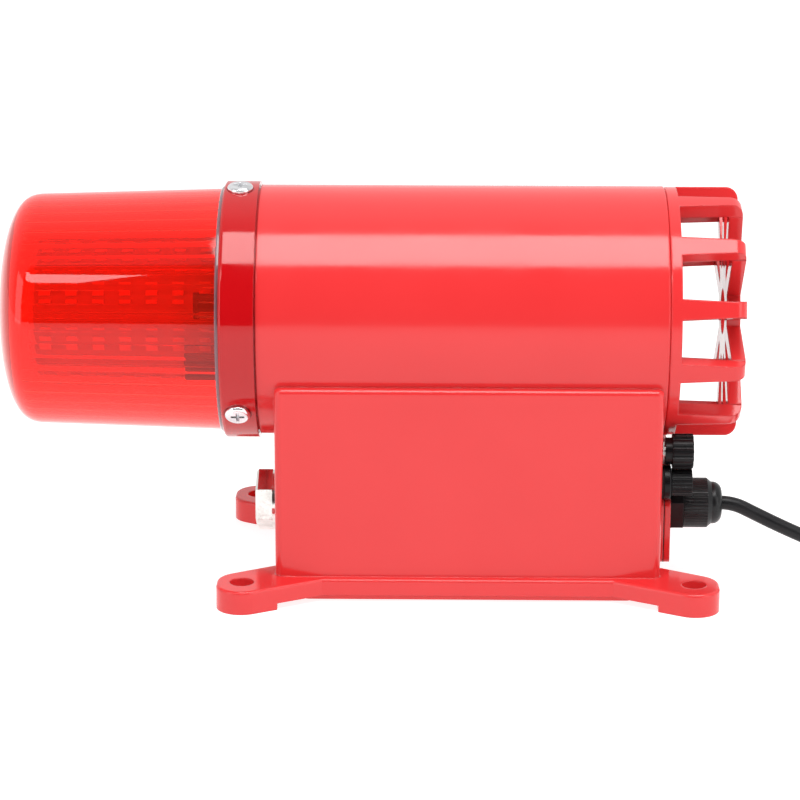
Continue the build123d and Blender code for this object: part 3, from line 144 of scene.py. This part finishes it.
def math_node(tree, operation, first, second):
    """Arithmetic on two numbers; each may be an output or a value."""
    node = tree.nodes.new("ShaderNodeMath")
    node.operation = operation
    for socket, value in zip(node.inputs, (first, second)):
        if isinstance(value, bpy.types.NodeSocket):
            tree.links.new(value, socket)
        else:
            socket.default_value = value
    return node.outputs[0]


def relief(tree, shader, edge, *layers):
    """Rounded edges of that radius, then bumps from (height output, depth in metres) layers."""
    bevel = add_node(tree, "ShaderNodeBevel", Radius=edge)
    bevel.samples = BEVEL_SAMPLES
    normal = bevel.outputs["Normal"]
    for height, depth in layers:
        bump = add_node(tree, "ShaderNodeBump", Strength=1.0, Distance=depth)
        tree.links.new(height, bump.inputs["Height"])
        tree.links.new(normal, bump.inputs["Normal"])
        normal = bump.outputs["Normal"]
    tree.links.new(normal, shader.inputs["Normal"])


def edge_mask(tree, radius):
    """1 on sharp edges and 0 on flat faces, from how far the rounded normal leaves the true one."""
    bevel = add_node(tree, "ShaderNodeBevel", Radius=radius)
    bevel.samples = BEVEL_SAMPLES
    geometry = tree.nodes.new("ShaderNodeNewGeometry")
    dot = tree.nodes.new("ShaderNodeVectorMath")
    dot.operation = "DOT_PRODUCT"
    tree.links.new(bevel.outputs["Normal"], dot.inputs[0])
    tree.links.new(geometry.outputs["Normal"], dot.inputs[1])
    turned = math_node(tree, "SUBTRACT", 1.0, dot.outputs["Value"])
    return ramp(tree, turned, (0.02, 0.0), (0.22, 1.0))


# ------------------------------------------------------------------ materials
# scales of the patterns, in features per metre
PAINT_CLOUDS, PAINT_FLECKS, PAINT_WEAR = 22, 900, 160
PAINT_GLOSS, PAINT_PEEL, PAINT_WAVES = 60, 260, 45
PLASTIC_BLOTCHES, PLASTIC_GLOSS = 70, 240
METAL_TARNISH, METAL_MARKS = 120, 1400
CLEAR_GLOSS, CLEAR_WAVES = 80, 60

PAINT_IOR = 1.5
FLECK_COLOUR, WORN_COLOUR = (0.95, 0.35, 0.36), (0.9, 0.22, 0.24)
PAINT_WORN_WIDTH, PLASTIC_SCUFF_WIDTH = 0.5 * MM, 0.3 * MM
METAL_EDGE, METAL_MARK_DEPTH = 0.2 * MM, 4e-6
CLEAR_COAT_ROUGHNESS, CLEAR_WAVE_DEPTH = 0.02, 6e-6


def uneven_gloss(tree, shader, pattern, roughness, rise, span=(0.3, 0.75)):
    """Roughness that rises by so much as a pattern goes over its span."""
    rough = ramp(tree, pattern, (span[0], roughness), (span[1], roughness + rise))
    tree.links.new(rough, shader.inputs["Roughness"])


def enamel(name, colour, dark, roughness, edge, peel=8e-6):
    """Gloss paint on a casting: faint orange peel, some clouding, pale flecks and worn edges."""
    material, tree, shader = new_material(name)
    clouds = ramp(tree, noise(tree, PAINT_CLOUDS, 4), (0.35, 0.0), (0.7, 1.0))
    base = mix(tree, math_node(tree, "MULTIPLY", clouds, 0.35), colour, dark)
    flecks = ramp(tree, noise(tree, PAINT_FLECKS, 2), (0.80, 0.0), (0.84, 1.0))
    base = mix(tree, math_node(tree, "MULTIPLY", flecks, 0.25), base, FLECK_COLOUR)
    edges = edge_mask(tree, PAINT_WORN_WIDTH)
    patches = ramp(tree, noise(tree, PAINT_WEAR, 4), (0.5, 0.0), (0.68, 0.4))
    base = mix(tree, math_node(tree, "MULTIPLY", edges, patches), base, WORN_COLOUR)
    tree.links.new(base, shader.inputs["Base Color"])
    uneven_gloss(tree, shader, noise(tree, PAINT_GLOSS, 4), roughness, 0.07)
    shader.inputs["IOR"].default_value = PAINT_IOR
    relief(tree, shader, edge,
           (noise(tree, PAINT_PEEL, 2), peel), (noise(tree, PAINT_WAVES, 2), 3 * peel))
    return material


def moulded(name, colour, pale, roughness, edge, grain=1500, depth=6e-6, shine=0.5):
    """Moulded plastic or rubber with a fine grain, uneven gloss and scuffed edges."""
    material, tree, shader = new_material(name)
    blotches = ramp(tree, noise(tree, PLASTIC_BLOTCHES, 4), (0.4, 0.0), (0.75, 0.6))
    base = mix(tree, blotches, colour, pale)
    scuffed = math_node(tree, "MULTIPLY", edge_mask(tree, PLASTIC_SCUFF_WIDTH), 0.45)
    base = mix(tree, scuffed, base, tuple(min(1.0, 2.0 * c + 0.02) for c in pale))
    tree.links.new(base, shader.inputs["Base Color"])
    uneven_gloss(tree, shader, noise(tree, PLASTIC_GLOSS, 3), roughness, 0.14)
    shader.inputs["Specular IOR Level"].default_value = shine
    relief(tree, shader, edge, (noise(tree, grain, 2), depth))
    return material


def metal(name, colour, dark, roughness, brushed=(1, 1, 1)):
    """Bare or plated metal with fine marks and slight tarnish."""
    material, tree, shader = new_material(name)
    tarnish = ramp(tree, noise(tree, METAL_TARNISH, 4), (0.42, 0.0), (0.72, 0.7))
    tree.links.new(mix(tree, tarnish, colour, dark), shader.inputs["Base Color"])
    shader.inputs["Metallic"].default_value = 1.0
    marks = noise(tree, METAL_MARKS, 3, stretch=brushed)
    uneven_gloss(tree, shader, marks, roughness, 0.16, span=(0.3, 0.7))
    relief(tree, shader, METAL_EDGE, (marks, METAL_MARK_DEPTH))
    return material


def clear_plastic(name, colour, roughness, ior, clearness, glow=0.0, coat=1.0):
    """Clear coloured moulding with a gloss skin; the glow stands for light scattered inside it."""
    material, tree, shader = new_material(name)
    shader.inputs["Base Color"].default_value = (*colour, 1)
    shader.inputs["Transmission Weight"].default_value = clearness
    shader.inputs["IOR"].default_value = ior
    shader.inputs["Coat Weight"].default_value = coat
    shader.inputs["Coat Roughness"].default_value = CLEAR_COAT_ROUGHNESS
    shader.inputs["Emission Color"].default_value = (*colour, 1)
    shader.inputs["Emission Strength"].default_value = glow
    uneven_gloss(tree, shader, noise(tree, CLEAR_GLOSS, 3), roughness, 0.03, span=(0.3, 0.8))
    bump = add_node(tree, "ShaderNodeBump", Strength=1.0, Distance=CLEAR_WAVE_DEPTH)
    tree.links.new(noise(tree, CLEAR_WAVES, 2), bump.inputs["Height"])
    tree.links.new(bump.outputs["Normal"], shader.inputs["Normal"])
    return material


LOOKS = {
    "red_paint": (enamel, dict(
        colour=(0.73, 0.035, 0.037), dark=(0.68, 0.027, 0.029), roughness=0.12, edge=1.0 * MM)),
    "ring_paint": (enamel, dict(
        colour=(0.50, 0.0035, 0.006), dark=(0.44, 0.0025, 0.005), roughness=0.05, edge=0.5 * MM,
        peel=3e-6)),
    "lens_red": (clear_plastic, dict(
        colour=(1.0, 0.045, 0.020), roughness=0.015, ior=1.33, clearness=0.96, glow=0.10,
        coat=0.35)),
    "seal_clear": (clear_plastic, dict(
        colour=(0.30, 0.13, 0.16), roughness=0.25, ior=1.41, clearness=0.4)),
    "chrome_screw": (metal, dict(
        colour=(0.88, 0.88, 0.90), dark=(0.55, 0.56, 0.58), roughness=0.08)),
    "zinc_steel": (metal, dict(
        colour=(0.72, 0.72, 0.70), dark=(0.45, 0.44, 0.40), roughness=0.25)),
    "nickel": (metal, dict(
        colour=(0.86, 0.84, 0.81), dark=(0.55, 0.52, 0.48), roughness=0.10)),
    "black_rubber": (moulded, dict(
        colour=(0.010, 0.010, 0.010), pale=(0.020, 0.020, 0.020), roughness=0.6, edge=0.2 * MM,
        shine=0.3)),
    "white_plastic": (moulded, dict(
        colour=(0.78, 0.76, 0.72), pale=(0.70, 0.68, 0.64), roughness=0.4, edge=0.3 * MM)),
    "green_board": (moulded, dict(
        colour=(0.02, 0.16, 0.07), pale=(0.03, 0.22, 0.10), roughness=0.3, edge=0.1 * MM,
        grain=700)),
    "white_board": (moulded, dict(
        colour=(0.50, 0.48, 0.46), pale=(0.42, 0.40, 0.38), roughness=0.35, edge=0.1 * MM)),
    "led_package": (moulded, dict(
        colour=(0.75, 0.66, 0.35), pale=(0.85, 0.80, 0.60), roughness=0.25, edge=0.2 * MM)),
    "capacitor_sleeve": (moulded, dict(
        colour=(0.015, 0.015, 0.02), pale=(0.03, 0.03, 0.04), roughness=0.2, edge=0.3 * MM)),
    "ferrite": (moulded, dict(
        colour=(0.02, 0.02, 0.02), pale=(0.04, 0.04, 0.04), roughness=0.6, edge=0.2 * MM)),
    "horn_plastic": (moulded, dict(
        colour=(0.05, 0.006, 0.007), pale=(0.06, 0.012, 0.012), roughness=0.45, edge=0.3 * MM)),
    "cast_alloy": (metal, dict(
        colour=(0.62, 0.62, 0.63), dark=(0.42, 0.42, 0.42), roughness=0.35)),
    "diaphragm_film": (moulded, dict(
        colour=(0.42, 0.28, 0.12), pale=(0.50, 0.36, 0.18), roughness=0.35, edge=0.2 * MM)),
    "black_plastic": (moulded, dict(
        colour=(0.005, 0.005, 0.006), pale=(0.010, 0.010, 0.011), roughness=0.26, edge=0.25 * MM,
        shine=0.22)),
    "gland_nylon": (moulded, dict(
        colour=(0.008, 0.008, 0.009), pale=(0.014, 0.014, 0.015), roughness=0.26, edge=0.3 * MM,
        shine=0.3)),
    "brass": (metal, dict(
        colour=(0.78, 0.56, 0.25), dark=(0.50, 0.33, 0.12), roughness=0.2)),
    "clear_glass": (clear_plastic, dict(
        colour=(0.95, 0.98, 0.98), roughness=0.01, ior=1.5, clearness=1.0)),
    "terminal_plastic": (moulded, dict(
        colour=(0.05, 0.26, 0.10), pale=(0.07, 0.32, 0.14), roughness=0.4, edge=0.3 * MM)),
    "lamination_steel": (metal, dict(
        colour=(0.30, 0.28, 0.26), dark=(0.16, 0.13, 0.10), roughness=0.45, brushed=(0.1, 6, 1))),
    "winding_tape": (moulded, dict(
        colour=(0.70, 0.52, 0.08), pale=(0.78, 0.62, 0.14), roughness=0.25, edge=0.3 * MM)),
    "wire_sleeve": (moulded, dict(
        colour=(0.35, 0.02, 0.015), pale=(0.42, 0.03, 0.02), roughness=0.35, edge=0.1 * MM)),
    "cord_jacket": (moulded, dict(
        colour=(0.008, 0.008, 0.009), pale=(0.015, 0.015, 0.016), roughness=0.34, edge=0.1 * MM,
        grain=900, depth=1.2e-5, shine=0.28)),
    "core_sleeve": (moulded, dict(
        colour=(0.20, 0.09, 0.04), pale=(0.26, 0.12, 0.06), roughness=0.35, edge=0.1 * MM)),
    "ferrule_tin": (metal, dict(
        colour=(0.80, 0.80, 0.78), dark=(0.55, 0.55, 0.52), roughness=0.2)),
}
MATERIALS = {slot: maker(slot, **look) for slot, (maker, look) in LOOKS.items()}


def dress_nodes():
    """Every CAD node takes the material of its slot in the record."""
    for part in frame["record"]["subparts"]:
        mesh = NODES[part["node"]].data
        mesh.materials.clear()
        mesh.materials.append(MATERIALS[part["material_slot"]])


# ------------------------------------------------------------------ cord
CORD_R = 3.1 * MM
CORD_STEPS_ALONG, CORD_STEPS_ROUND = 6, 8
# millimetres, as are the coil's sizes below
CORD_ROUTE = [(103.5, -21.0, 34.3), (105.6, -21.0, 34.3), (117.3, -21.0, 34.3),
              (127.6, -21.2, 29.0), (142.0, -21.5, 22.0), (163.0, -21.8, 12.9),
              (181.0, -21.7, 5.9), (198.0, -21.6, 3.15)]
COIL_CENTRE = (203.0, 17.0)
RING_RADII = (38.6, 32.3, 26.0)
LAYER_HEIGHTS = (3.15, 9.5)
# degrees from +X, ring and layer, where a run of the coil starts or ends
COIL_PLAN = [(-90, 0, 0), (150, 0, 0), (235, 1, 0), (510, 1, 0), (595, 2, 0), (800, 2, 0),
             (870, 2, 1), (1125, 2, 1), (1210, 1, 1), (1485, 1, 1), (1570, 0, 1), (1710, 0, 1)]
COIL_STEP = 15  # degrees between points
COIL_TAIL = 6  # straight end past the last turn


def coil_points():
    """Points of the put-away turns, in millimetres, with smooth changes of ring and layer."""
    x, y = COIL_CENTRE
    rows = [(angle, RING_RADII[ring], LAYER_HEIGHTS[layer]) for angle, ring, layer in COIL_PLAN]
    points = []
    for (a0, r0, z0), (a1, r1, z1) in zip(rows, rows[1:]):
        steps = max(1, round((a1 - a0) / COIL_STEP))
        for i in range(steps):
            t = i / steps
            eased = t * t * (3 - 2 * t)
            angle = math.radians(a0 + (a1 - a0) * t)
            radius = r0 + (r1 - r0) * eased
            points.append((x + radius * math.cos(angle), y + radius * math.sin(angle),
                           z0 + (z1 - z0) * eased))
    end_r, end_z = rows[-1][1:]
    return points + [(x, y - end_r, end_z), (x + COIL_TAIL, y - end_r, end_z)]


def make_cord():
    """The mains lead: out of the gland, down to the floor, into its coil outside the view."""
    data = bpy.data.curves.new("mains_cord", "CURVE")
    data.dimensions = "3D"
    data.resolution_u = CORD_STEPS_ALONG
    data.bevel_depth = CORD_R
    data.bevel_resolution = CORD_STEPS_ROUND
    data.use_fill_caps = True
    points = CORD_ROUTE + coil_points()
    spline = data.splines.new("NURBS")
    spline.points.add(len(points) - 1)
    for point, (x, y, z) in zip(spline.points, points):
        point.co = (x * MM, y * MM, z * MM, 1)
    spline.order_u = 3  # quadratic: the curve touches the middles of its control runs
    spline.use_endpoint_u = True
    cord = bpy.data.objects.new("mains_cord", data)
    bpy.context.collection.objects.link(cord)
    data.materials.append(MATERIALS["cord_jacket"])
    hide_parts("cord", "cord_coil")
    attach(cord, "siren")


# ------------------------------------------------------------------ studio
DARK_ELEVATION = 20.0  # degrees, of the dark patch behind the camera
WORLD_STRENGTH = 0.85
FLOOR_SIZE, FLOOR_GLOW = 30, 0.85
SIDE_AIM = (-0.03, 0.0, TUBE_AXIS_Z)
TOP_AIM = (0.32, 0.0, TUBE_AXIS_Z)  # at its light's own X, which keeps the softbox from twisting


def area_light(name, at, aim, size, power):
    """A rectangular softbox at a point, aimed at another."""
    data = bpy.data.lights.new(name, "AREA")
    data.shape = "RECTANGLE"
    data.size, data.size_y = size
    data.energy = power
    light = bpy.data.objects.new(name, data)
    bpy.context.collection.objects.link(light)
    light.location = at
    light.rotation_euler = (Vector(aim) - Vector(at)).to_track_quat("-Z", "Y").to_euler()


def make_world():
    """White studio surroundings, darker behind the camera."""
    world = bpy.data.worlds.new("studio")
    bpy.context.scene.world = world
    world.use_nodes = True
    tree = world.node_tree
    coords = tree.nodes.new("ShaderNodeTexCoord")
    towards = tree.nodes.new("ShaderNodeVectorMath")
    towards.operation = "DOT_PRODUCT"
    elevation = math.radians(DARK_ELEVATION)
    towards.inputs[1].default_value = (0, -math.cos(elevation), math.sin(elevation))
    tree.links.new(coords.outputs["Generated"], towards.inputs[0])
    shade = ramp(tree, towards.outputs["Value"],
                 (0.0, 1.0), (0.4, 0.6), (0.775, 0.5), (0.81, 0.03))
    background = tree.nodes["Background"]
    tree.links.new(shade, background.inputs["Color"])
    background.inputs["Strength"].default_value = WORLD_STRENGTH


def make_floor():
    """Pale floor that glows enough to come out white."""
    bpy.ops.mesh.primitive_plane_add(size=FLOOR_SIZE, location=(0, 0, 0))
    floor = bpy.context.object
    floor.name = "floor"
    material, tree, shader = new_material("floor_white")
    shader.inputs["Roughness"].default_value = 0.6
    shader.inputs["Specular IOR Level"].default_value = 0.2
    shader.inputs["Emission Color"].default_value = (1, 1, 1, 1)
    shader.inputs["Emission Strength"].default_value = FLOOR_GLOW
    shade = ramp(tree, noise(tree, 3, 2), (0.3, 0.38), (0.7, 0.40))
    tree.links.new(shade, shader.inputs["Base Color"])
    floor.data.materials.append(material)


def make_studio():
    """Surroundings, floor and softboxes."""
    make_world()
    make_floor()
    area_light("top_box", (0.32, -0.53, 1.55), TOP_AIM, (1.25, 0.85), 22)
    area_light("lens_glint", (-0.55, -1.0, 1.1), SIDE_AIM, (0.35, 0.2), 1.5)
    area_light("left_box", (-1.7, -1.2, 0.7), SIDE_AIM, (1.0, 1.5), 9)
    area_light("right_box", (1.7, -1.2, 0.7), SIDE_AIM, (1.0, 1.5), 8)


bpy.context.scene.view_settings.view_transform = "Standard"
make_camera()
make_cord()
dress_nodes()
make_studio()
